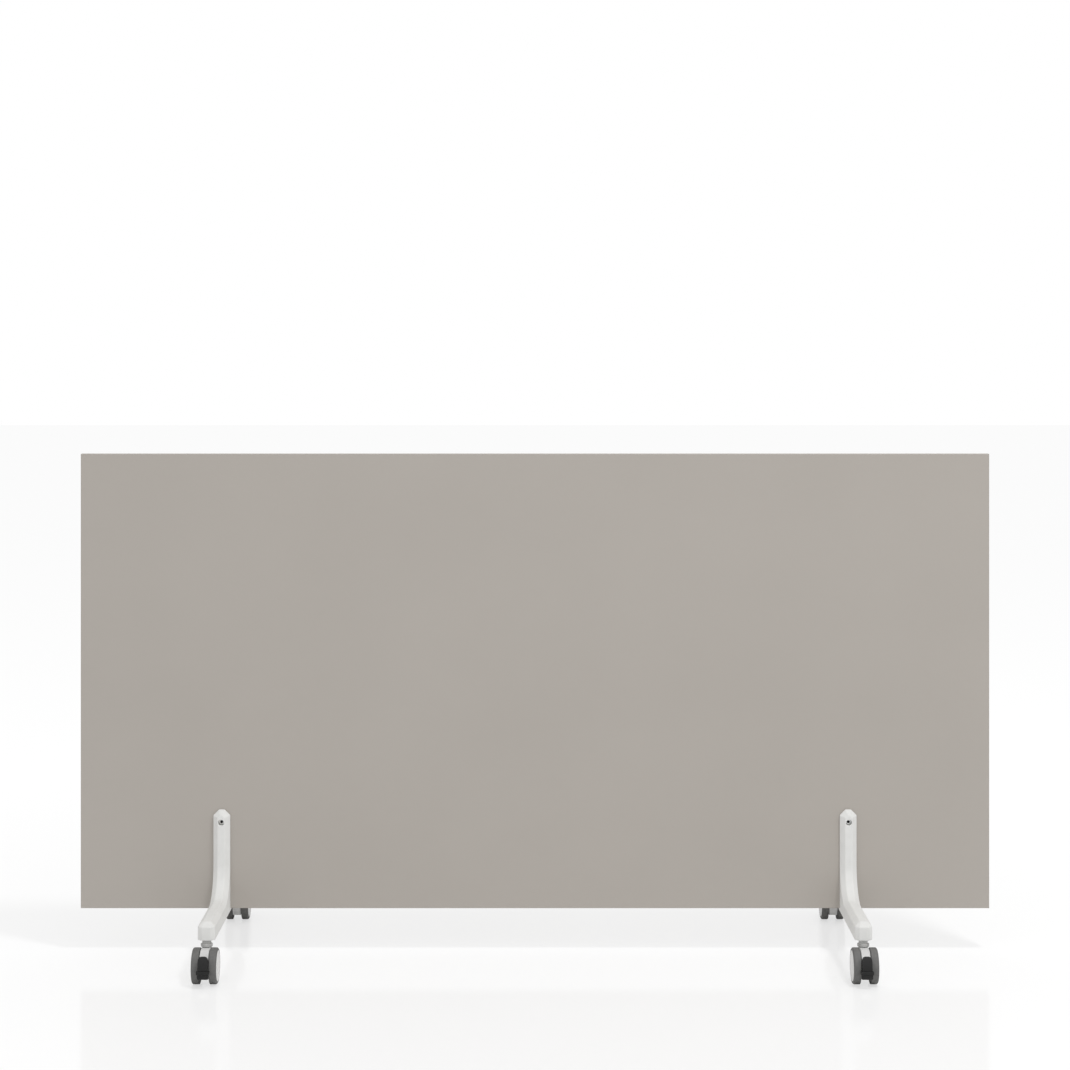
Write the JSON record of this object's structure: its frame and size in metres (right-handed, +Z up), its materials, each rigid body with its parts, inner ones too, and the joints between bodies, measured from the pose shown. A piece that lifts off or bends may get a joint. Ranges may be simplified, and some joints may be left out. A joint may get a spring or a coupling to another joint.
{
  "type": "rolling partition",
  "caption": "Low free-standing laminated board held upright in slotted inverted-T feet, rolling on twin-wheel casters with foot brakes.",
  "frame": {"origin": "on the floor under the middle of the board", "axes": "+X along the board to the right, +Z up, -Y is the front"},
  "size_m": [2, 0.664, 1.094],
  "materials": {
    "panel_laminate": "matte greige laminate",
    "edge_band": "matte edge band in the board's colour",
    "core_board": "raw particle board",
    "cast_leg": "satin silver-white powder coat",
    "yoke_metal": "satin silver",
    "collar_grey": "mid grey",
    "zinc_steel": "zinc plated",
    "washer_plastic": "natural",
    "tread": "dark grey soft tread",
    "hub_plastic": "moulded",
    "wheel_cover": "pale grey semi-gloss",
    "pedal_black": "black moulded"
  },
  "bodies": {
    "screen": {"panel_core": "core_board", "front_laminate": "panel_laminate", "rear_laminate": "panel_laminate", "top_edge_band": "edge_band", "bottom_edge_band": "edge_band", "left_edge_band": "edge_band", "right_edge_band": "edge_band", "left_leg": "cast_leg", "right_leg": "cast_leg", "sleeve_nuts": "zinc_steel", "clamp_screws": "zinc_steel", "caster_stems": "zinc_steel", "grip_rings": "zinc_steel", "thrust_washers": "washer_plastic", "front_left_collar": "collar_grey", "front_right_collar": "collar_grey", "rear_left_collar": "collar_grey", "rear_right_collar": "collar_grey"},
    "front_left_caster": {"front_left_yoke": "yoke_metal", "front_left_axle": "zinc_steel", "front_left_pedal_pin": "zinc_steel"},
    "front_left_pedal": {"front_left_brake_pedal": "pedal_black"},
    "front_left_left_wheel": {"front_left_left_hub": "hub_plastic", "front_left_left_tyre": "tread", "front_left_left_cover": "wheel_cover"},
    "front_left_right_wheel": {"front_left_right_hub": "hub_plastic", "front_left_right_tyre": "tread", "front_left_right_cover": "wheel_cover"},
    "front_right_caster": {"front_right_yoke": "yoke_metal", "front_right_axle": "zinc_steel", "front_right_pedal_pin": "zinc_steel"},
    "front_right_pedal": {"front_right_brake_pedal": "pedal_black"},
    "front_right_left_wheel": {"front_right_left_hub": "hub_plastic", "front_right_left_tyre": "tread", "front_right_left_cover": "wheel_cover"},
    "front_right_right_wheel": {"front_right_right_hub": "hub_plastic", "front_right_right_tyre": "tread", "front_right_right_cover": "wheel_cover"},
    "rear_left_caster": {"rear_left_yoke": "yoke_metal", "rear_left_axle": "zinc_steel", "rear_left_pedal_pin": "zinc_steel"},
    "rear_left_pedal": {"rear_left_brake_pedal": "pedal_black"},
    "rear_left_left_wheel": {"rear_left_left_hub": "hub_plastic", "rear_left_left_tyre": "tread", "rear_left_left_cover": "wheel_cover"},
    "rear_left_right_wheel": {"rear_left_right_hub": "hub_plastic", "rear_left_right_tyre": "tread", "rear_left_right_cover": "wheel_cover"},
    "rear_right_caster": {"rear_right_yoke": "yoke_metal", "rear_right_axle": "zinc_steel", "rear_right_pedal_pin": "zinc_steel"},
    "rear_right_pedal": {"rear_right_brake_pedal": "pedal_black"},
    "rear_right_left_wheel": {"rear_right_left_hub": "hub_plastic", "rear_right_left_tyre": "tread", "rear_right_left_cover": "wheel_cover"},
    "rear_right_right_wheel": {"rear_right_right_hub": "hub_plastic", "rear_right_right_tyre": "tread", "rear_right_right_cover": "wheel_cover"}
  },
  "joints": [
    {"name": "front_left_swivel", "type": "hinge", "parent": "screen", "child": "front_left_caster", "pos_m": [-0.689, -0.262, 0.06], "axis": [0, 0, 1], "continuous": true},
    {"name": "front_left_left_roll", "type": "hinge", "parent": "front_left_caster", "child": "front_left_left_wheel", "pos_m": [-0.7075, -0.282, 0.0375], "axis": [1, 0, 0], "continuous": true},
    {"name": "front_left_right_roll", "type": "hinge", "parent": "front_left_caster", "child": "front_left_right_wheel", "pos_m": [-0.6705, -0.282, 0.0375], "axis": [1, 0, 0], "continuous": true},
    {"name": "front_left_brake", "type": "hinge", "parent": "front_left_caster", "child": "front_left_pedal", "pos_m": [-0.689, -0.3, 0.042], "axis": [1, 0, 0], "range_deg": [0, 12]},
    {"name": "front_right_swivel", "type": "hinge", "parent": "screen", "child": "front_right_caster", "pos_m": [0.689, -0.262, 0.06], "axis": [0, 0, 1], "continuous": true},
    {"name": "front_right_left_roll", "type": "hinge", "parent": "front_right_caster", "child": "front_right_left_wheel", "pos_m": [0.6705, -0.282, 0.0375], "axis": [1, 0, 0], "continuous": true},
    {"name": "front_right_right_roll", "type": "hinge", "parent": "front_right_caster", "child": "front_right_right_wheel", "pos_m": [0.7075, -0.282, 0.0375], "axis": [1, 0, 0], "continuous": true},
    {"name": "front_right_brake", "type": "hinge", "parent": "front_right_caster", "child": "front_right_pedal", "pos_m": [0.689, -0.3, 0.042], "axis": [1, 0, 0], "range_deg": [0, 12]},
    {"name": "rear_left_swivel", "type": "hinge", "parent": "screen", "child": "rear_left_caster", "pos_m": [-0.689, 0.262, 0.06], "axis": [0, 0, 1], "continuous": true},
    {"name": "rear_left_left_roll", "type": "hinge", "parent": "rear_left_caster", "child": "rear_left_left_wheel", "pos_m": [-0.7075, 0.282, 0.0375], "axis": [1, 0, 0], "continuous": true},
    {"name": "rear_left_right_roll", "type": "hinge", "parent": "rear_left_caster", "child": "rear_left_right_wheel", "pos_m": [-0.6705, 0.282, 0.0375], "axis": [1, 0, 0], "continuous": true},
    {"name": "rear_left_brake", "type": "hinge", "parent": "rear_left_caster", "child": "rear_left_pedal", "pos_m": [-0.689, 0.3, 0.042], "axis": [-1, 0, 0], "range_deg": [0, 12]},
    {"name": "rear_right_swivel", "type": "hinge", "parent": "screen", "child": "rear_right_caster", "pos_m": [0.689, 0.262, 0.06], "axis": [0, 0, 1], "continuous": true},
    {"name": "rear_right_left_roll", "type": "hinge", "parent": "rear_right_caster", "child": "rear_right_left_wheel", "pos_m": [0.6705, 0.282, 0.0375], "axis": [1, 0, 0], "continuous": true},
    {"name": "rear_right_right_roll", "type": "hinge", "parent": "rear_right_caster", "child": "rear_right_right_wheel", "pos_m": [0.7075, 0.282, 0.0375], "axis": [1, 0, 0], "continuous": true},
    {"name": "rear_right_brake", "type": "hinge", "parent": "rear_right_caster", "child": "rear_right_pedal", "pos_m": [0.689, 0.3, 0.042], "axis": [-1, 0, 0], "range_deg": [0, 12]}
  ]
}
